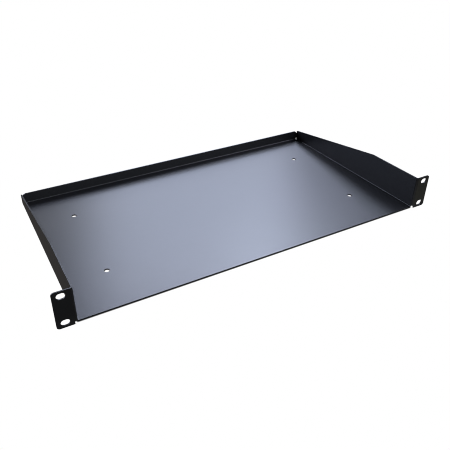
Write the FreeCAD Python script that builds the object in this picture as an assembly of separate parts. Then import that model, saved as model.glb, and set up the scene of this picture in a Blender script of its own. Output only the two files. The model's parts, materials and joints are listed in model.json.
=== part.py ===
import FreeCAD, Part
import math
import os

# Cantilever rack shelf, one rack unit high: one sheet of steel, folded.
# The floor is the middle of the sheet.  Its two long sides are folded up as
# side walls, its rear edge is folded up as a low flange, and the front edge
# of each wall is folded outwards as an ear with two slots.
# Millimetres.  +X is to the right seen from the front, +Y to the rear, +Z up.
# The origin is in the middle of the shelf, on the plane of its underside.

# Sizes that the 19-inch rack standard sets.  The ears' outer edges and the
# walls keep their distances from the middles of the slots, so one spacing
# makes the whole shelf wider or narrower.
slot_column_spacing = 465.1
slot_row_spacing = 31.75
slot_edge_distance = 8.75
slot_wall_distance = 10.55
panel_height = 43.66

# The sheet and its bends.
sheet = 1.5
bend_inner_radius = 1.0
k_factor = 0.44

# The tray.
depth = 254.0
rear_flange_height = 15.0
wall_rear_height = 15.5
wall_level_length = 80.0

# Rounded corners of the flat blank.
ear_corner_radius = 3.2
flange_corner_radius = 6.0
wall_rear_corner_radius = 2.0
wall_kink_radius = 8.0

# Slots in the ears and round holes in the floor.
slot_width = 6.8
slot_adjustment = 2.2
floor_hole_diameter = 5.5
floor_hole_spacing_x = 342.0
floor_hole_spacing_y = 127.0

# Reliefs where bends meet, and the gaps of the closed rear corners.
corner_relief_clearance = 0.5
ear_relief_clearance = 0.7
flange_end_inset = 0.9
wall_end_gap = 0.3

# Worked out from the sizes above.
bend_outer_radius = bend_inner_radius + sheet
bend_allowance = math.pi / 2 * (bend_inner_radius + k_factor * sheet)
half_body = slot_column_spacing / 2 - slot_wall_distance
half_panel = slot_column_spacing / 2 + slot_edge_distance
front_face = -depth / 2
rear_face = depth / 2
floor_front = front_face + bend_outer_radius
floor_rear = rear_face - bend_outer_radius
floor_half_width = half_body - bend_outer_radius
wall_rear_end = rear_face - sheet - wall_end_gap
ear_bend_start = half_body + bend_inner_radius
ear_relief_top = bend_outer_radius + ear_relief_clearance

# The relief of a rear corner is one round hole in the blank.  Its centre is
# where the middles of the two bends cross, and at the bends' tangent lines
# it reaches past their crossing by the clearance.
past_tangent = bend_allowance / 2
relief_x = floor_half_width + past_tangent
relief_y = floor_rear + past_tangent
relief_z = bend_outer_radius - past_tangent
corner_relief_radius = math.hypot(past_tangent, past_tangent + corner_relief_clearance)

right_and_left = (1, -1)
point_tolerance = 1e-6


def vector(x, y, z):
    return FreeCAD.Vector(x, y, z)


def rounding(corner, to_last, to_next, radius):
    """Start, middle and end of the arc that rounds a corner of an outline.

    to_last and to_next are unit vectors along the outline's two sides.
    """
    half_angle = to_last.getAngle(to_next) / 2
    tangent_length = radius / math.tan(half_angle)
    inwards = (to_last + to_next).normalize()
    middle = corner + inwards * (radius / math.sin(half_angle) - radius)
    return corner + to_last * tangent_length, middle, corner + to_next * tangent_length


def rounded_face(corners, place):
    """A flat face whose outline runs through corners (u, v, radius).

    place(u, v) turns the outline's own coordinates into a point in space.
    Where two roundings meet there is no straight edge between them.
    """
    points = [vector(u, v, 0) for u, v, radius in corners]
    arcs = []
    for index, point in enumerate(points):
        to_last = (points[index - 1] - point).normalize()
        to_next = (points[(index + 1) % len(points)] - point).normalize()
        arc = rounding(point, to_last, to_next, corners[index][2])
        arcs.append([place(p.x, p.y) for p in arc])
    edges = []
    for index, (start, middle, end) in enumerate(arcs):
        next_start = arcs[(index + 1) % len(arcs)][0]
        if start.distanceToPoint(end) > point_tolerance:
            edges.append(Part.Arc(start, middle, end).toShape())
        if end.distanceToPoint(next_start) > point_tolerance:
            edges.append(Part.LineSegment(end, next_start).toShape())
    return Part.Face(Part.Wire(edges))


def bend(centre, towards_first, towards_second, run):
    """A quarter-round bend of the sheet, carried along the vector run.

    It turns about centre from the direction of the first flat's tangent
    line to that of the second.
    """
    between = (towards_first + towards_second).normalize()
    directions = (towards_first, between, towards_second)
    inner = [centre + d * bend_inner_radius for d in directions]
    outer = [centre + d * bend_outer_radius for d in directions]
    edges = [
        Part.Arc(*inner).toShape(),
        Part.LineSegment(inner[-1], outer[-1]).toShape(),
        Part.Arc(*reversed(outer)).toShape(),
        Part.LineSegment(outer[0], inner[0]).toShape(),
    ]
    return Part.Face(Part.Wire(edges)).extrude(run)


def corner_relief(start, through):
    """The rear corners' round relief, where it passes through one flat."""
    return Part.makeCylinder(corner_relief_radius, sheet, start, through)


def floor_plate():
    plate = Part.makeBox(
        2 * floor_half_width,
        floor_rear - floor_front,
        sheet,
        vector(-floor_half_width, floor_front, 0),
    )
    for x in (-floor_hole_spacing_x / 2, floor_hole_spacing_x / 2):
        for y in (-floor_hole_spacing_y / 2, floor_hole_spacing_y / 2):
            hole = Part.makeCylinder(floor_hole_diameter / 2, sheet, vector(x, y, 0))
            plate = plate.cut(hole)
    for side in right_and_left:
        start = vector(side * relief_x, relief_y, 0)
        plate = plate.cut(corner_relief(start, vector(0, 0, 1)))
    return plate


def rear_flange():
    """The low upstand across the back, with rounded upper corners."""
    end = half_body - flange_end_inset
    outline = [
        (-end, bend_outer_radius, 0),
        (end, bend_outer_radius, 0),
        (end, rear_flange_height, flange_corner_radius),
        (-end, rear_flange_height, flange_corner_radius),
    ]
    inner_face = rear_face - sheet
    face = rounded_face(outline, lambda u, v: vector(u, inner_face, v))
    flange = face.extrude(vector(0, sheet, 0))
    for side in right_and_left:
        start = vector(side * relief_x, inner_face, relief_z)
        flange = flange.cut(corner_relief(start, vector(0, 1, 0)))
    return flange


def rear_bend():
    half_run = floor_half_width - corner_relief_clearance
    return bend(
        vector(-half_run, floor_rear, bend_outer_radius),
        vector(0, 0, -1),
        vector(0, 1, 0),
        vector(2 * half_run, 0, 0),
    )


def side_wall(side):
    """Level at panel height behind the ear, then a straight slope down."""
    kink = front_face + wall_level_length
    outline = [
        (floor_front, bend_outer_radius, 0),
        (wall_rear_end, bend_outer_radius, 0),
        (wall_rear_end, wall_rear_height, wall_rear_corner_radius),
        (kink, panel_height, wall_kink_radius),
        (floor_front, panel_height, 0),
    ]
    inwards = vector(-side, 0, 0)
    face = rounded_face(outline, lambda u, v: vector(side * half_body, u, v))
    wall = face.extrude(inwards * sheet)
    start = vector(side * half_body, relief_y, relief_z)
    return wall.cut(corner_relief(start, inwards))


def side_bend(side):
    run = floor_rear - corner_relief_clearance - floor_front
    return bend(
        vector(side * floor_half_width, floor_front, bend_outer_radius),
        vector(0, 0, -1),
        vector(side, 0, 0),
        vector(0, run, 0),
    )


def slot_cutter(x, z):
    """A slot that lies level, cut through the ear from front to back."""
    radius = slot_width / 2
    left = x - slot_adjustment / 2
    right = x + slot_adjustment / 2
    low_left = vector(left, front_face, z - radius)
    cutter = Part.makeBox(slot_adjustment, sheet, slot_width, low_left)
    for end in (left, right):
        centre = vector(end, front_face, z)
        cutter = cutter.fuse(Part.makeCylinder(radius, sheet, centre, vector(0, 1, 0)))
    return cutter


def ear(side):
    """The mounting ear, with the relief notch at its lower inner corner."""
    notch_side = ear_bend_start + ear_relief_clearance
    outline = [
        (ear_bend_start, panel_height, 0),
        (ear_bend_start, ear_relief_top, 0),
        (notch_side, ear_relief_top, ear_relief_clearance),
        (notch_side, 0, 0),
        (half_panel, 0, ear_corner_radius),
        (half_panel, panel_height, ear_corner_radius),
    ]
    face = rounded_face(outline, lambda u, v: vector(side * u, front_face, v))
    plate = face.extrude(vector(0, sheet, 0))
    middle = panel_height / 2
    for z in (middle - slot_row_spacing / 2, middle + slot_row_spacing / 2):
        plate = plate.cut(slot_cutter(side * slot_column_spacing / 2, z))
    return plate


def ear_bend(side):
    return bend(
        vector(side * ear_bend_start, floor_front, ear_relief_top),
        vector(0, -1, 0),
        vector(-side, 0, 0),
        vector(0, 0, panel_height - ear_relief_top),
    )


def make_shelf():
    folds = [rear_bend(), rear_flange()]
    for side in right_and_left:
        folds += [side_bend(side), side_wall(side), ear_bend(side), ear(side)]
    return floor_plate().fuse(folds).removeSplitter()


os.makedirs("parts", exist_ok=True)
shelf = make_shelf()
shelf.exportStep("parts/shelf.step")
print("solids", len(shelf.Solids), "valid", shelf.isValid())
print("volume cm3", round(shelf.Volume / 1000, 2))
box = shelf.BoundBox
print("size mm", round(box.XLength, 3), round(box.YLength, 3), round(box.ZLength, 3))
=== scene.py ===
# %% [markdown]
# # A cantilever rack shelf, one rack unit high
# The real shelf is a single sheet of steel. A laser cuts its flat blank, a press
# brake folds the blank, and a black powder is baked on. Its size and its fixing
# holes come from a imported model, the frame, which this script loads and keeps.

# %% Load the frame
import json
import math

import bpy
import numpy as np
from mathutils import Matrix, Vector
from mathutils.bvhtree import BVHTree
from mathutils.geometry import delaunay_2d_cdt


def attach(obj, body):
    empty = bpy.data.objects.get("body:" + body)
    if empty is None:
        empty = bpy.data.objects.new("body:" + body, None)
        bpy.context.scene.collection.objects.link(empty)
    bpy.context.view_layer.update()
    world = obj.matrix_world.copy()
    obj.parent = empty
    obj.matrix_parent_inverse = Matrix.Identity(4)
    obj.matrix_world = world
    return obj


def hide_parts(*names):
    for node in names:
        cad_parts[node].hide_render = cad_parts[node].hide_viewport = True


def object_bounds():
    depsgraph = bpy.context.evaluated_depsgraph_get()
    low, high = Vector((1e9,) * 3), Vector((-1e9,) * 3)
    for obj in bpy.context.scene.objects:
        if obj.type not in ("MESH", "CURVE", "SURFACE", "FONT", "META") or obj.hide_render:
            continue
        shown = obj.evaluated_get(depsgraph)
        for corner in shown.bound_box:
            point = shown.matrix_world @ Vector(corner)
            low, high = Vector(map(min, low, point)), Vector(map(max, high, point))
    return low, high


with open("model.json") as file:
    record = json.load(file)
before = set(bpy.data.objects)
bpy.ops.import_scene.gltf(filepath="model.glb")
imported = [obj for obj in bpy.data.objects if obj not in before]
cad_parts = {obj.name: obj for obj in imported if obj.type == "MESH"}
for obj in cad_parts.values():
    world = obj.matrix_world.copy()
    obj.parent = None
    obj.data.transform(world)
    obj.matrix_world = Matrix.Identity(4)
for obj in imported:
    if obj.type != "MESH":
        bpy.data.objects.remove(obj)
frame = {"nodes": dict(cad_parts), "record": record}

cad_box = [list(corner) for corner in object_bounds()]
print("frame box, m:", np.round(cad_box, 5).tolist())

# %% [markdown]
# ## The sizes of the folded sheet
# A folded part needs few sizes: the sheet's thickness, the radius of its bends,
# and how far each flange reaches. The overall box, the slots and the floor's holes
# are read from the frame, so that they can't drift away from it. The others are
# those that a drawing of the part would give.

# %% Sizes from the frame
mounts = {mount["name"]: mount for mount in frame["record"]["mounts"]}
slots = mounts["rack_slots"]
floor_holes = mounts["floor_holes"]
millimetre = 0.001

(left_end, front_face, underside), (right_end, rear_face, panel_top) = cad_box
half_panel = (right_end - left_end) / 2
panel_height = panel_top - underside
sheet = mounts["tray_top"]["pos_m"][2] - underside
print("sheet, mm:", round(sheet / millimetre, 3))

# %% Sizes of the flanges, bends and reliefs
body_width = 444.0 * millimetre
bend_inner_radius = 1.0 * millimetre
rear_flange_height = 15.0 * millimetre
wall_rear_height = 15.5 * millimetre
wall_level_length = 80.0 * millimetre
flange_end_inset = 0.9 * millimetre
wall_end_gap = 0.3 * millimetre
corner_relief_clearance = 0.5 * millimetre
ear_relief_clearance = 0.7 * millimetre

ear_corner_radius = 3.2 * millimetre
flange_corner_radius = 6.0 * millimetre
wall_rear_corner_radius = 2.0 * millimetre
wall_kink_radius = 8.0 * millimetre

# %% [markdown]
# ## Where the bends lie in the flat blank
# A bend turns a strip of the sheet by a quarter turn. The middle plane of the
# sheet keeps its length there, so the strip is as wide as the quarter circle that
# the middle plane follows. Laying the part out flat then means adding up lengths
# along that plane. In the blank, u runs to the right and v to the rear, and the
# floor has the same place as in the folded part.

# %% Tangent lines of the bends
bend_outer_radius = bend_inner_radius + sheet
middle_radius = bend_inner_radius + sheet / 2
bend_length = math.pi / 2 * middle_radius

half_body = body_width / 2
floor_half_width = half_body - bend_outer_radius
floor_front = front_face + bend_outer_radius
floor_rear = rear_face - bend_outer_radius
ear_bend_start = half_body + bend_inner_radius
ear_relief_top = bend_outer_radius + ear_relief_clearance


def wall_u(height):
    """Where a height on the side wall lies in the blank."""
    return floor_half_width + bend_length + height - bend_outer_radius


def flange_v(height):
    """Where a height on the rear flange lies in the blank."""
    return floor_rear + bend_length + height - bend_outer_radius


def ear_v(x):
    """Where a place along the ear, measured from the shelf's middle, lies in the blank."""
    return floor_front - bend_length - (x - ear_bend_start)


print("blank, mm:", round(2 * wall_u(panel_height) / millimetre, 1), "wide and",
      round((flange_v(rear_flange_height) - ear_v(half_panel)) / millimetre, 1), "long")

# %% [markdown]
# ## The outline, as the laser cuts it
# Straight cuts with rounded corners are the whole outline. One function rounds
# every corner at once: an arc that touches both sides of a corner starts at
# radius / tan(half the corner's angle) from it. The same function draws a slot,
# which is a rectangle whose corners are as round as it is narrow.

# %% Rounded outlines and circles
arc_steps = 13


def unit(vectors):
    """The same directions with length one."""
    return vectors / np.linalg.norm(vectors, axis=-1, keepdims=True)


def without_repeats(loop):
    """The closed outline with each point that repeats the one before it left out."""
    step = np.linalg.norm(loop - np.roll(loop, 1, axis=0), axis=1)
    return loop[step > 0.001 * millimetre]


def rounded_outline(corners):
    """Points along a closed outline with corners (u, v, radius).

    The centre of a corner's arc lies on the bisector, radius / sin(half the
    angle) from the corner. The arc is swung from its first touching point to
    its second by weights sin((1 - t) turn) and sin(t turn) over sin(turn).
    """
    corners = np.array(corners)
    points, radius = corners[:, :2], corners[:, 2:]
    to_last = unit(np.roll(points, 1, axis=0) - points)
    to_next = unit(np.roll(points, -1, axis=0) - points)
    half = np.arccos((to_last * to_next).sum(1, keepdims=True)) / 2
    centre = points + unit(to_last + to_next) * radius / np.sin(half)
    first = points + to_last * radius / np.tan(half) - centre
    second = points + to_next * radius / np.tan(half) - centre
    turn = (math.pi - 2 * half)[:, None]
    t = np.linspace(0, 1, arc_steps)[None, :, None]
    swing = (first[:, None] * np.sin((1 - t) * turn) + second[:, None] * np.sin(t * turn))
    arcs = centre[:, None] + swing / np.sin(turn)
    return without_repeats(arcs.reshape(-1, 2))


def arc(centre, radius, start, end, steps):
    """Points from angle start to angle end about centre: (cos, sin) times the radius."""
    angle = np.linspace(start, end, steps)[:, None]
    return np.array(centre) + radius * np.hstack([np.cos(angle), np.sin(angle)])


# %% [markdown]
# At each rear corner two bends meet. Metal there would crumple, so a round relief
# is cut through the meeting point first. Its circle runs out through the end of
# the wall and the end of the flange, which leaves the small gap of a closed corner.

# %% The relief of a rear corner
flange_end = half_body - flange_end_inset
wall_rear_end = rear_face - sheet - wall_end_gap
relief_centre = (floor_half_width + bend_length / 2, floor_rear + bend_length / 2)
relief_radius = math.hypot(bend_length / 2, bend_length / 2 + corner_relief_clearance)


def corner_relief():
    """The relief's arc, from the wall's end round the floor's corner to the flange's end."""
    along = wall_rear_end - relief_centre[1]
    across = flange_end - relief_centre[0]
    start = math.asin(along / relief_radius)
    end = math.acos(across / relief_radius) - 2 * math.pi
    return arc(relief_centre, relief_radius, start, end, 2 * arc_steps)


print("relief radius, mm:", round(relief_radius / millimetre, 2))

# %% The outline of the blank
notch_v = ear_v(ear_bend_start + ear_relief_clearance)
kink_v = front_face + wall_level_length
square = 0.0


def blank_outline():
    """The whole outline: the right half from the front to the rear, then the same mirrored."""
    from_notch_to_wall_end = rounded_outline([
        (wall_u(ear_relief_top), floor_front, square),
        (wall_u(ear_relief_top), notch_v, ear_relief_clearance),
        (wall_u(0), notch_v, square),
        (wall_u(0), ear_v(half_panel), ear_corner_radius),
        (wall_u(panel_height), ear_v(half_panel), ear_corner_radius),
        (wall_u(panel_height), kink_v, wall_kink_radius),
        (wall_u(wall_rear_height), wall_rear_end, wall_rear_corner_radius),
        (flange_end, wall_rear_end, square),
        (flange_end, flange_v(rear_flange_height), flange_corner_radius),
        (0, flange_v(rear_flange_height), square),
        (0, floor_front, square),
    ])
    u, v = from_notch_to_wall_end.T
    relief_corner = np.hypot(u - flange_end, v - wall_rear_end) < 0.01 * millimetre
    place = int(np.flatnonzero(relief_corner)[0])
    right = np.vstack([from_notch_to_wall_end[:place], corner_relief(),
                       from_notch_to_wall_end[place + 1:]])
    right = right[right[:, 0] > 0.01 * millimetre]
    return np.vstack([right, right[::-1] * (-1, 1)])


outline = blank_outline()
print("points in the outline:", len(outline))

# %% [markdown]
# ## The holes
# Four slots in the ears take the rack's screws, with room to slide sideways, and
# four round holes in the floor take the feet or a device's screws. Their places
# and sizes are the mounts of the frame's record. Only the floor's holes are drawn a
# quarter of a millimetre wider all round, as the real ones are about six across.

# %% Slots and floor holes
slot_radius = slots["dims"]["hole_r_mm"] * millimetre
slot_reach = slots["dims"]["slot_length_mm"] * millimetre / 2
slot_x = slots["dims"]["spacing_x_mm"] * millimetre / 2
slot_z = slots["dims"]["spacing_y_mm"] * millimetre / 2
slot_middle = slots["pos_m"][2] - underside
hole_widening = 0.25 * millimetre
hole_radius = floor_holes["dims"]["hole_r_mm"] * millimetre + hole_widening
hole_x = floor_holes["dims"]["spacing_x_mm"] * millimetre / 2
hole_y = floor_holes["dims"]["spacing_y_mm"] * millimetre / 2
hole_steps = 48


def slot(side, height):
    """A slot in the blank, where the ear's length runs along v."""
    low, high = wall_u(height - slot_radius), wall_u(height + slot_radius)
    near, far = ear_v(slot_x - slot_reach), ear_v(slot_x + slot_reach)
    corners = [(side * low, far, slot_radius), (side * high, far, slot_radius),
               (side * high, near, slot_radius), (side * low, near, slot_radius)]
    return rounded_outline(corners)[::side]


def floor_hole(x, y):
    """A round hole, as points once round its circle."""
    return arc((x, y), hole_radius, 0, 2 * math.pi, hole_steps + 1)[:-1]


holes = [slot(side, slot_middle + rise) for side in (-1, 1) for rise in (-slot_z, slot_z)]
holes += [floor_hole(x, y) for x in (-hole_x, hole_x) for y in (-hole_y, hole_y)]
print("holes:", len(holes))

# %% [markdown]
# ## Room for the rounded edge
# No painted edge is sharp: the powder flows back from a corner and leaves it
# round. A Bevel modifier could cut that rounding, but here it is drawn. The flat
# skins stop a little short of the outline, and a strip with a rounded profile
# carries on from there, over the cut edge, to the other skin.

# %% Outlines moved into the metal
edge_radius = 0.12 * millimetre
widest_step = 5.0 * millimetre


def outward(loop_last, loop_here, loop_next):
    """The normals of the edges before and after each point, which point to the right of the way."""
    before, after = unit(loop_here - loop_last), unit(loop_next - loop_here)
    return before[:, ::-1] * (1, -1), after[:, ::-1] * (1, -1)


def mitre(before, after):
    """How far a corner moves when both its edges move by one: (n1 + n2) / (1 + n1 . n2)."""
    return (before + after) / (1 + (before * after).sum(1, keepdims=True))


def moved_in(loop, metal_side):
    """The outline moved into the metal by the edge's radius; metal_side is 1 if the metal is inside."""
    normals = outward(np.roll(loop, 1, axis=0), loop, np.roll(loop, -1, axis=0))
    return loop - metal_side * edge_radius * mitre(*normals)


def divided(loop):
    """The outline with its long sides cut into equal steps.

    A side of length L gets ceil(L / widest step) steps, and a point is its
    side's start plus the share of the way that its number stands for.
    """
    ahead = np.roll(loop, -1, axis=0) - loop
    count = np.ceil(np.linalg.norm(ahead, axis=1) / widest_step).astype(int)
    side = np.repeat(np.arange(len(loop)), count)
    number = np.arange(len(side)) - np.repeat(np.cumsum(count) - count, count)
    return loop[side] + ahead[side] * (number / count[side])[:, None]


skin_outline = divided(moved_in(outline, 1))
skin_holes = [moved_in(hole, -1) for hole in holes]
print("points round the skin:", len(skin_outline) + sum(map(len, skin_holes)))

# %% [markdown]
# ## Cutting the blank into triangles
# A plate with holes and notches isn't a grid, so it is filled with triangles that
# keep to its outlines. Each bend gets a fan of lines across it, one for each few
# degrees of turn, so that no triangle spans much of the curve. Over the flats a
# sparse grid of points keeps the triangles compact.

# %% Lines along the bends
turn_steps = 12
overshoot = 0.5 * millimetre
past_notch = 0.02 * millimetre    # keeps the ear bend's first line clear of the notch's corner


def bend_lines(start, end, towards):
    """Lines from start to end, spread evenly over the bend's width along towards.

    Returns points (lines, stations, 2): start + (end - start) t + towards s.
    """
    start, end, towards = map(np.array, (start, end, towards))
    stations = 1 + int(np.linalg.norm(end - start) / widest_step)
    t = np.linspace(0, 1, stations + 1)[None, :, None]
    s = np.linspace(0, bend_length, turn_steps + 1)[:, None, None]
    return start + (end - start) * t + towards * s


def all_bend_lines():
    """The rear bend, and on each side the wall's bend and the ear's."""
    relief_u, relief_v = relief_centre
    lines = [bend_lines((-relief_u, floor_rear), (relief_u, floor_rear), (0.0, 1.0))]
    ear_low = wall_u(ear_relief_top) - ear_relief_clearance / 2
    ear_high = wall_u(panel_height) + overshoot
    for side in (-1, 1):
        lines.append(bend_lines((side * floor_half_width, floor_front - overshoot),
                                (side * floor_half_width, relief_v), (side, 0.0)))
        lines.append(bend_lines((side * ear_low, floor_front - past_notch),
                                (side * ear_high, floor_front - past_notch), (0.0, -1.0)))
    return lines


# %% Which points lie in the metal
def crossings(points, loop):
    """How many sides of the outline lie to the right of each point, at its own height."""
    (u1, v1), (u2, v2) = loop.T, np.roll(loop, -1, axis=0).T
    u, v = points[:, 0, None], points[:, 1, None]
    spans = (v1 > v) != (v2 > v)
    rise = np.where(v2 == v1, 1, v2 - v1)
    return (spans & (u < u1 + (v - v1) * (u2 - u1) / rise)).sum(1)


def in_metal(points):
    """True where the rings of outline and holes are crossed an odd number of times in all."""
    rings = [skin_outline] + skin_holes
    return sum(crossings(points, ring) for ring in rings) % 2 == 1


# %% Points over the flats
flat_step = 12.0 * millimetre


def flat_points(edges_and_bends):
    """A grid over the blank, less what lies outside it or close to an edge or a bend."""
    reach = skin_outline.max(0)
    low = skin_outline.min(0)
    u, v = (np.arange(a + flat_step / 2, b, flat_step) for a, b in zip(low, reach))
    grid = np.stack(np.meshgrid(u, v), axis=-1).reshape(-1, 2)
    gap = np.linalg.norm(grid[:, None] - edges_and_bends[None], axis=2).min(1)
    return grid[(gap > flat_step / 3) & in_metal(grid)]


# %% The triangles
def ring_sides(first, count):
    """Pairs of neighbouring point numbers once round a ring."""
    here = np.arange(first, first + count)
    return np.stack([here, np.roll(here, -1)], axis=1)


def triangulated():
    """Points and triangles of the skin, wound so that they face up from the blank."""
    points, sides, first = [], [], 0
    for ring in [skin_outline] + skin_holes:
        points.append(ring)
        sides.append(ring_sides(first, len(ring)))
        first += len(ring)
    for lines in all_bend_lines():
        number = first + np.arange(lines[..., 0].size).reshape(lines.shape[:2])
        points.append(lines.reshape(-1, 2))
        sides.append(np.stack([number[:, :-1], number[:, 1:]], axis=-1).reshape(-1, 2))
        first += number.size
    points.append(flat_points(np.vstack(points)))
    points, sides = np.vstack(points) / millimetre, np.vstack(sides)
    placed, _, faces, *_ = delaunay_2d_cdt(
        points.tolist(), sides.tolist(), [], 0, 0.01, False)
    placed, faces = np.array(placed) * millimetre, np.array(faces)
    faces = faces[in_metal(placed[faces].mean(1))]
    used, faces = np.unique(faces, return_inverse=True)
    return placed[used], faces.reshape(-1, 3)


skin, triangles = triangulated()
print("skin:", len(skin), "points and", len(triangles), "triangles")

# %% [markdown]
# ## The edge strip
# The border of the skin is each side of a triangle that no other triangle shares.
# Every border point carries a profile: a quarter circle down from the upper skin,
# the straight cut face, and a quarter circle to the lower skin. Where the border
# turns sharply, as at a notch, the two sides keep their own normals and stay crisp.

# %% The border of the skin
crease = math.cos(math.radians(30))


def border(faces, count):
    """Start and end points of the skin's free sides, with the metal on their left."""
    start = faces.ravel()
    end = np.roll(faces, -1, axis=1).ravel()
    free = ~np.isin(start * count + end, end * count + start)
    return start[free], end[free]


starts, ends = border(triangles, len(skin))
before_point = np.zeros(len(skin), int)
after_point = np.zeros(len(skin), int)
before_point[ends] = starts
after_point[starts] = ends
border_points = np.sort(starts)
normal_before, normal_after = outward(
    skin[before_point[border_points]], skin[border_points], skin[after_point[border_points]])
is_smooth = (normal_before * normal_after).sum(1) > crease
smooth_normal = unit(normal_before + normal_after)
print("border:", len(border_points), "points, of which", int((~is_smooth).sum()), "are sharp corners")

# %% The profile of the edge
quarter_steps = 4


def edge_profile():
    """Rows (outward, upward, height above the middle plane) from the upper skin to the lower.

    Over each quarter circle the normal leans from straight up to straight out:
    (cos a, sin a), and the height is that of the arc's centre plus radius sin a.
    """
    a = np.linspace(math.pi / 2, 0, quarter_steps + 1)
    upper = np.stack([np.cos(a), np.sin(a), sheet / 2 - edge_radius * (1 - np.sin(a))], axis=1)
    lower = upper[::-1] * (1, -1, -1)
    return np.vstack([upper, lower])


profile = edge_profile()
print("rows in the edge's profile:", len(profile))

# %% [markdown]
# ## Folding
# One formula makes every bend. Past the first tangent line the middle plane turns
# by distance / radius until it has made a quarter turn, and then runs straight on.
# The ears are folded first, then the rear flange and the side walls, as each fold
# carries what lies beyond it.

# %% The bend's formula
def bent(distance, height, least_turn=0.0):
    """Forward and upward place, and turn, of what lies distance past a bend's start.

    turn = distance / middle radius, from least_turn to a quarter turn, and
    straight = distance - turn * middle radius is left over before or past the bend;
    forward = (radius - height) sin(turn) + straight cos(turn);
    up = radius - (radius - height) cos(turn) + straight sin(turn).
    """
    turn = np.clip(distance / middle_radius, least_turn, math.pi / 2)
    straight = distance - turn * middle_radius
    forward = (middle_radius - height) * np.sin(turn) + straight * np.cos(turn)
    up = middle_radius - (middle_radius - height) * np.cos(turn) + straight * np.sin(turn)
    return forward, up, turn


def turned(forward, up, turn):
    """A direction's forward and upward parts after it has turned with the sheet."""
    return (forward * np.cos(turn) - up * np.sin(turn),
            forward * np.sin(turn) + up * np.cos(turn))


# %% From the blank to the shelf
def folded(blank, height, normal):
    """Places and normals on the shelf of points on the blank, as whole arrays.

    blank holds (u, v), height the distance above the middle plane, and normal
    the direction (u, v, up) there. A diagonal through each relief parts the
    flange from the wall. Ear points take the side bend's full turn.
    """
    u, v = blank.T
    side, across = np.sign(u), np.abs(u)
    past_diagonal = v - relief_centre[1] > across - relief_centre[0]
    on_flange = (v > floor_rear) & past_diagonal
    on_ear = (v < floor_front - bend_length / 2) & (across > floor_half_width)

    ahead, below, turn = bent(floor_front - v, -height)
    ahead_normal, below_normal = turned(-normal[:, 1], -normal[:, 2], turn)
    v_ear, height_ear = floor_front - ahead, -below

    back, up_flange, turn = bent(v_ear - floor_rear, height_ear)
    back_normal, up_normal = turned(-ahead_normal, -below_normal, turn)
    y = np.where(on_flange, floor_rear + back, v_ear)
    y_normal = np.where(on_flange, back_normal, -ahead_normal)
    height_side = np.where(on_flange, up_flange, height_ear)
    height_normal = np.where(on_flange, up_normal, -below_normal)

    full_turn = np.where(on_ear, math.pi / 2, 0.0)
    out, up, turn = bent(across - floor_half_width, height_side, full_turn)
    out_normal, z_normal = turned(side * normal[:, 0], height_normal, turn)
    x = side * np.where(on_flange, across, floor_half_width + out)
    x_normal = np.where(on_flange, normal[:, 0], side * out_normal)
    z = underside + sheet / 2 + np.where(on_flange, height_side, up)
    z_normal = np.where(on_flange, height_normal, z_normal)
    return np.stack([x, y, z], axis=1), np.stack([x_normal, y_normal, z_normal], axis=1)


# %% [markdown]
# ## The mesh
# The two skins share the blank's triangles, one turned over, and the edge strip is
# a grid of quads: border sides one way and profile rows the other. Every face
# corner gets the exact normal of the formula, so the bends shade as true cylinders
# and the flats stay flat right up to the rounded edge.

# %% Points of the strip
def strip_points():
    """Blank place and height of the strip's inner rows, row after row."""
    reach = mitre(normal_before, normal_after) * edge_radius
    places = [skin[border_points] + reach * out for out, _, _ in profile[1:-1]]
    heights = [np.full(len(border_points), height) for _, _, height in profile[1:-1]]
    return np.vstack(places), np.concatenate(heights)


def strip_numbers():
    """Point numbers (rows, border points): the skins' own at both ends, new ones between."""
    inner = 2 * len(skin) + np.arange((len(profile) - 2) * len(border_points))
    inner = inner.reshape(len(profile) - 2, -1)
    return np.vstack([border_points, inner, border_points + len(skin)])


strip_blank, strip_height = strip_points()
strip = strip_numbers()
print("points in the strip:", len(strip_blank))

# %% Faces and the normals at their corners
def strip_faces():
    """Quads (side, row) with corners in order, and each corner's normal on the blank."""
    column = np.zeros(len(skin), int)
    column[border_points] = np.arange(len(border_points))
    a, b = column[starts], column[ends]
    quads = np.stack([strip[1:][:, a], strip[1:][:, b], strip[:-1][:, b], strip[:-1][:, a]], axis=-1)
    of_a = np.where(is_smooth[a, None], smooth_normal[a], normal_after[a])
    of_b = np.where(is_smooth[b, None], smooth_normal[b], normal_before[b])
    corners = [(of_a, profile[1:]), (of_b, profile[1:]), (of_b, profile[:-1]), (of_a, profile[:-1])]
    normals = [np.concatenate([rows[:, None, :1] * flat[None],
                               np.broadcast_to(rows[:, None, 1:2], (len(rows), len(flat), 1))],
                              axis=2) for flat, rows in corners]
    return quads.reshape(-1, 4), np.stack(normals, axis=2).reshape(-1, 3)


quads, strip_corner_normals = strip_faces()
straight_up = np.array([0.0, 0.0, 1.0])
blank_places = np.vstack([skin, skin, strip_blank])
heights = np.concatenate([np.full(len(skin), sheet / 2), np.full(len(skin), -sheet / 2), strip_height])
print("quads in the strip:", len(quads))


# %% The folded shelf
def folded_shelf():
    """Builds the mesh and gives every face corner its normal."""
    lower = triangles[:, ::-1] + len(skin)
    faces = triangles.tolist() + lower.tolist() + quads.tolist()
    corner_points = np.concatenate([triangles.ravel(), lower.ravel(), quads.ravel()])
    corner_normals = np.vstack([np.tile(straight_up, (triangles.size, 1)),
                                np.tile(-straight_up, (lower.size, 1)),
                                strip_corner_normals])
    places, _ = folded(blank_places, heights, np.tile(straight_up, (len(heights), 1)))
    _, corner_normals = folded(blank_places[corner_points], heights[corner_points], corner_normals)
    mesh = bpy.data.meshes.new("folded_shelf")
    mesh.from_pydata(places.tolist(), [], faces)
    mesh.shade_smooth()
    mesh.normals_split_custom_set(corner_normals.tolist())
    shelf = bpy.data.objects.new("folded_shelf", mesh)
    bpy.context.scene.collection.objects.link(shelf)
    return shelf


shelf = folded_shelf()
print("faces:", len(shelf.data.polygons))

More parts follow.
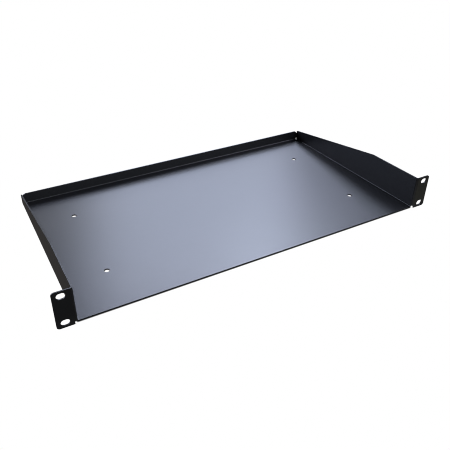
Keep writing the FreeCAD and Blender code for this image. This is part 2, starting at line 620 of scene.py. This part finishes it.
# %% [markdown]
# The new mesh has to be the frame's part with finer bends and those wider holes. The
# furthest that any of its points lies from the frame's surface says how true it is.

# %% How far the new surface lies from the frame
node = frame["nodes"]["shelf"]
tree = BVHTree.FromObject(node, bpy.context.evaluated_depsgraph_get())
places = np.array([vertex.co for vertex in shelf.data.vertices])
distances = np.array([tree.find_nearest(Vector(place))[3] for place in places])
worst = distances.argmax()
print("furthest from the frame, mm:", round(distances[worst] / millimetre, 3),
      "at", (places[worst] / millimetre).round(1).tolist())
print("box, mm:", (places.min(0) / millimetre).round(3).tolist(),
      (places.max(0) / millimetre).round(3).tolist())

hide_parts("shelf")
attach(shelf, "root")

# %% [markdown]
# ## Powder coat
# Baked powder is a skin of paint with a satin gloss and a very fine texture: the
# grains melt together and leave a shallow pebbling that spreads a reflection. The
# colour is close to black, and the gloss comes from the clear resin round the
# pigment, so an ordinary dielectric with a low, slightly uneven roughness is right.

# %% The coat's colour and gloss
coat_black = (0.0105, 0.0108, 0.0115, 1.0)
coat_black_paler = (0.0135, 0.0140, 0.0150, 1.0)
roughness_low, roughness_high = 0.305, 0.315
resin_ior = 1.5
mottle_size, gloss_size = 6 * millimetre, 25 * millimetre
pebble_size, pebble_depth = 1.6 * millimetre, 0.006 * millimetre
grain_size, grain_depth = 0.5 * millimetre, 0.002 * millimetre


def add_node(tree, kind, **settings):
    """A node with its settings, and values for its inputs by name."""
    made = tree.nodes.new(kind)
    for name, value in settings.items():
        if name in made.inputs:
            made.inputs[name].default_value = value
        else:
            setattr(made, name, value)
    return made


def noise(tree, place, size, detail):
    """Noise whose lumps are about size across, read at the object's own coordinates."""
    made = add_node(tree, "ShaderNodeTexNoise", Scale=1 / size, Detail=detail, Roughness=0.5)
    tree.links.new(place.outputs["Object"], made.inputs["Vector"])
    return made.outputs["Fac"]


def between(tree, factor, low, high):
    """A number that goes from low to high as the noise goes from its usual low to its usual high."""
    made = add_node(tree, "ShaderNodeMapRange")
    tree.links.new(factor, made.inputs["Value"])
    usual_low, usual_high = 0.3, 0.7
    made.inputs["From Min"].default_value = usual_low
    made.inputs["From Max"].default_value = usual_high
    made.inputs["To Min"].default_value = low
    made.inputs["To Max"].default_value = high
    return made.outputs["Result"]


def bumped(tree, height, depth, normal=None):
    """A bump from a height between 0 and 1 that is depth deep."""
    made = add_node(tree, "ShaderNodeBump", Strength=1.0, Distance=depth)
    tree.links.new(height, made.inputs["Height"])
    if normal is not None:
        tree.links.new(normal, made.inputs["Normal"])
    return made.outputs["Normal"]


def powder_coat():
    """Satin black paint: mottled colour and gloss, and two scales of pebbling."""
    material = bpy.data.materials.new("satin_powder_coat")
    material.use_nodes = True
    tree = material.node_tree
    shader = tree.nodes["Principled BSDF"]
    shader.inputs["IOR"].default_value = resin_ior
    place = add_node(tree, "ShaderNodeTexCoord")
    colour = add_node(tree, "ShaderNodeMix", data_type="RGBA")
    colour.inputs["A"].default_value = coat_black
    colour.inputs["B"].default_value = coat_black_paler
    mottle = noise(tree, place, mottle_size, 3.0)
    tree.links.new(mottle, colour.inputs["Factor"])
    tree.links.new(colour.outputs["Result"], shader.inputs["Base Color"])
    gloss = noise(tree, place, gloss_size, 2.0)
    tree.links.new(between(tree, gloss, roughness_low, roughness_high), shader.inputs["Roughness"])
    pebbling = bumped(tree, noise(tree, place, pebble_size, 1.0), pebble_depth)
    grain = bumped(tree, noise(tree, place, grain_size, 2.0), grain_depth, pebbling)
    tree.links.new(grain, shader.inputs["Normal"])
    return material


shelf.data.materials.append(powder_coat())
print("material:", shelf.data.materials[0].name)

# %% [markdown]
# ## The studio
# The shelf lies on a white tabletop lit from below, like a light table. It shows
# hardly any shadow, and the outline of the dark sheet stands out sharply against it.

# %% Glowing sheets for the studio
def glowing_sheet(name, middle, half, drop, glow, margin=millimetre):
    """A level rectangle that shines evenly, a drop below the shelf.

    It reaches half = (x, y) each way from its middle, in three by three faces. Its
    attribute "fade" goes from 0 on the border to 1 at a margin inside it.
    """
    x, y = (m + np.array([-h, margin - h, h - margin, h]) for m, h in zip(middle, half))
    across, along = np.meshgrid(x, y)
    level = np.full(across.size, underside - drop)
    places = np.column_stack([across.ravel(), along.ravel(), level])
    number = np.arange(16).reshape(4, 4)
    corners = (number[:-1, :-1], number[:-1, 1:], number[1:, 1:], number[1:, :-1])
    mesh = bpy.data.meshes.new(name)
    mesh.from_pydata(places, [], np.stack(corners, axis=-1).reshape(-1, 4).tolist())
    inside = np.outer([0.0, 1.0, 1.0, 0.0], [0.0, 1.0, 1.0, 0.0])
    mesh.attributes.new("fade", "FLOAT", "POINT").data.foreach_set("value", inside.ravel())
    lit = bpy.data.objects.new(name, mesh)
    bpy.context.scene.collection.objects.link(lit)
    material = bpy.data.materials.new(name)
    material.use_nodes = True
    tree = material.node_tree
    shine = add_node(tree, "ShaderNodeEmission", Color=(*glow, 1.0), Strength=1.0)
    tree.links.new(shine.outputs["Emission"], tree.nodes["Material Output"].inputs["Surface"])
    mesh.materials.append(material)
    return lit


# %% Tabletop
white = (1.0, 1.0, 1.0)


def light_table(name, middle, half, drop, margin=millimetre):
    """A white glowing sheet that the camera sees and that neither lights nor mirrors in the coat."""
    lit = glowing_sheet(name, middle, half, drop, white, margin)
    lit.visible_glossy = False
    lit.visible_diffuse = False
    return lit


tabletop = light_table("tabletop", (0.0, 0.0), (6.0, 6.0), 0.2 * millimetre)
print("tabletop, m:", [round(size, 2) for size in tabletop.dimensions[:2]])

# %% [markdown]
# Right where the shelf meets the tabletop, its edge would hide some of the light, and a
# thin dark line would follow it. That shade is painted into the glowing sheets: the
# share of the sky that a point sees within a short reach sets how dark it is painted.
# Sheets with such a painted shadow lie under the front edge and under the holes. A
# softer and wider painted shadow runs along the foot of the right wall and of the
# rear flange. The painted shadow fades out at each sheet's border, so that no border shows.

# %% The painted contact shadows
looks_at_the_sky = 24


def paint_contact_shadow(lit, reach, power):
    """Paints a contact shadow into the sheet: brightness 1 + fade (s - 1), where s is the sky's open
    share to a power.
    """
    tree = lit.data.materials[0].node_tree
    open_share = add_node(tree, "ShaderNodeAmbientOcclusion", Distance=reach, samples=looks_at_the_sky)
    darker = add_node(tree, "ShaderNodeMath", operation="POWER")
    tree.links.new(open_share.outputs["AO"], darker.inputs[0])
    darker.inputs[1].default_value = power
    fade = add_node(tree, "ShaderNodeAttribute", attribute_name="fade")
    blended = add_node(tree, "ShaderNodeMix", data_type="FLOAT", A=1.0)
    tree.links.new(fade.outputs["Fac"], blended.inputs["Factor"])
    tree.links.new(darker.outputs["Value"], blended.inputs["B"])
    tree.links.new(blended.outputs["Result"], tree.nodes["Emission"].inputs["Strength"])


front_middle = (0.0, floor_front - millimetre)
front_half = (half_body + 2 * millimetre, 5 * millimetre)
past_wall = 12 * millimetre
rear_middle = (past_wall / 2, past_wall)
rear_half = (half_body + past_wall / 2, rear_face)
hole_half = (200 * millimetre, 100 * millimetre)
# Each of these sheets glows white, with a painted contact shadow near the shelf.
painted_shadow_sheets = [
    # name, middle, half size, then in millimetres drop, margin and reach, and the power
    ("painted_shadow_front", front_middle, front_half, 0.15, 3.0, 1.5, 5.0),
    ("painted_shadow_rear", rear_middle, rear_half, 0.15, 6.0, 12.0, 12.0),
    ("painted_shadow_holes", (0.0, 0.0), hole_half, 0.13, 10.0, 0.45, 3.5),
]
for name, middle, half, drop, margin, reach, power in painted_shadow_sheets:
    lit = light_table(name, middle, half, drop * millimetre, margin * millimetre)
    paint_contact_shadow(lit, reach * millimetre, power)
print("sheets with a contact line:", len(painted_shadow_sheets))

# %% [markdown]
# ## Light
# The floor of the shelf is a broad satin mirror, so what lights it is what it
# reflects: a bank of cool panels high behind the shelf, brightest to the right of
# its middle. Dimmer panels at the left, the right and the front keep the walls and
# the ears from going black, and one overhead draws the light line in the rear bend.

# %% Softboxes
panel_distance = 3.0
panels = [
    # name, azimuth, elevation, width and height in degrees, red, green and blue
    ("rear_high", 25.5, 44.0, 27.0, 13.0, (8.22, 8.99, 11.38)),
    ("rear_middle", 25.5, 31.0, 26.0, 13.0, (4.27, 4.76, 6.20)),
    ("rear_low", 25.5, 18.0, 26.0, 13.0, (1.86, 2.04, 2.43)),
    ("rear_right_high", 45.0, 44.0, 18.0, 13.0, (6.52, 7.38, 9.06)),
    ("rear_right", 45.0, 31.0, 15.0, 13.0, (1.43, 1.49, 2.02)),
    ("rear_left", 6.0, 24.5, 14.0, 26.0, (0.86, 0.89, 0.95)),
    ("far_left", -20.0, 24.5, 15.0, 26.0, (5.67, 5.87, 7.63)),
    ("left", 305.0, 15.0, 30.0, 30.0, (2.98, 3.29, 4.23)),
    ("right", 125.0, 45.0, 30.0, 30.0, (3.40, 3.43, 4.40)),
    ("overhead", 90.0, 76.0, 24.0, 24.0, (1.40, 1.45, 1.80)),
    ("front", 170.0, 15.0, 58.0, 30.0, (1.67, 1.80, 2.01)),
]


def softbox(name, azimuth, elevation, wide, high, brightness):
    """A panel that faces the shelf's middle and fills wide by high degrees of its view.

    A panel of area A that shines with brightness L gives off pi A L.
    """
    a, e = math.radians(azimuth), math.radians(elevation)
    direction = Vector((math.sin(a) * math.cos(e), math.cos(a) * math.cos(e), math.sin(e)))
    light = bpy.data.lights.new(name, "AREA")
    light.shape = "RECTANGLE"
    light.size = 2 * panel_distance * math.tan(math.radians(wide / 2))
    light.size_y = 2 * panel_distance * math.tan(math.radians(high / 2))
    light.color = [part / max(brightness) for part in brightness]
    light.energy = math.pi * light.size * light.size_y * max(brightness)
    lamp = bpy.data.objects.new(name, light)
    lamp.location = direction * panel_distance
    lamp.rotation_mode = "QUATERNION"
    lamp.rotation_quaternion = direction.to_track_quat("Z", "Y")
    lamp.visible_camera = False
    bpy.context.scene.collection.objects.link(lamp)
    return lamp


softboxes = [softbox(*panel) for panel in panels]
print("lights:", len(softboxes))

# %% [markdown]
# What the camera sees of the ears and of the left wall's outside mirrors the
# tabletop near them. A dim warm board lies there unseen, with a darker card before
# the left ear, a lighter one before the right ear and the lightest before its bend.

# %% The warm board and the cards
card_half = (40 * millimetre, 33 * millimetre)
cards = [
    # name, middle, half size and drop in metres, glow
    ("warm_board", (0.0, 0.0), (1.5, 1.5), 0.1 * millimetre, (0.089, 0.082, 0.074)),
    ("left_ear_card", (-0.235, -0.170), card_half, 0.05 * millimetre, (0.042, 0.038, 0.028)),
    ("right_ear_card", (0.270, -0.165), card_half, 0.05 * millimetre, (0.160, 0.154, 0.112)),
    ("right_bend_card", (0.190, -0.160), card_half, 0.05 * millimetre, (0.270, 0.265, 0.270)),
]
for name, middle, half, drop, glow in cards:
    card = glowing_sheet(name, middle, half, drop, glow)
    card.visible_camera = False
    card.visible_shadow = False
print("board and cards:", len(cards))

# %% [markdown]
# Beyond the tabletop the background is white too, so no horizon shows. Like the
# tabletop, it neither lights the coat nor mirrors in it. The plain colour transform
# keeps that white pure.

# %% World
world = bpy.data.worlds.new("studio")
world.use_nodes = True
world.node_tree.nodes["Background"].inputs["Color"].default_value = (*white, 1.0)
world.node_tree.nodes["Background"].inputs["Strength"].default_value = 1.0
bpy.context.scene.world = world
world.cycles_visibility.glossy = False
world.cycles_visibility.diffuse = False
bpy.context.scene.view_settings.view_transform = "Standard"

# %% [markdown]
# ## Camera
# The camera looks down on the shelf from its front and left, so that the tray, an
# outside and an inside of a wall, and both ears all show. It stands close, with a
# lens a little longer than normal, and the near ear comes out larger than the far one.

# %% The camera
camera_place = (-0.28866, -0.52020, 0.35738)
camera_azimuth, camera_elevation, camera_roll = 29.00, 30.36, 0.19
camera_lens, camera_sensor = 42.30, 36.0
camera_shift = (0.0193, -0.0550)


def studio_camera():
    """Looks along the azimuth, turned from +Y towards +X, and down by the elevation."""
    a, e = math.radians(camera_azimuth), math.radians(camera_elevation)
    forward = Vector((math.sin(a) * math.cos(e), math.cos(a) * math.cos(e), -math.sin(e)))
    aim = forward.to_track_quat("-Z", "Y").to_matrix().to_4x4()
    data = bpy.data.cameras.new("camera")
    data.sensor_width = camera_sensor
    data.lens = camera_lens
    data.shift_x, data.shift_y = camera_shift
    camera = bpy.data.objects.new("camera", data)
    roll = Matrix.Rotation(math.radians(camera_roll), 4, "Z")
    camera.matrix_world = Matrix.Translation(camera_place) @ aim @ roll
    bpy.context.scene.collection.objects.link(camera)
    return camera


bpy.context.scene.camera = studio_camera()
print("camera distance, m:", round(Vector(camera_place).length, 3))

# %% [markdown]
# A narrow filter over the picture keeps the thin dark edges of the sheet and
# the rims of the holes as crisp as a good lens does.

# %% Sharpness
bpy.context.scene.cycles.filter_width = 1.0
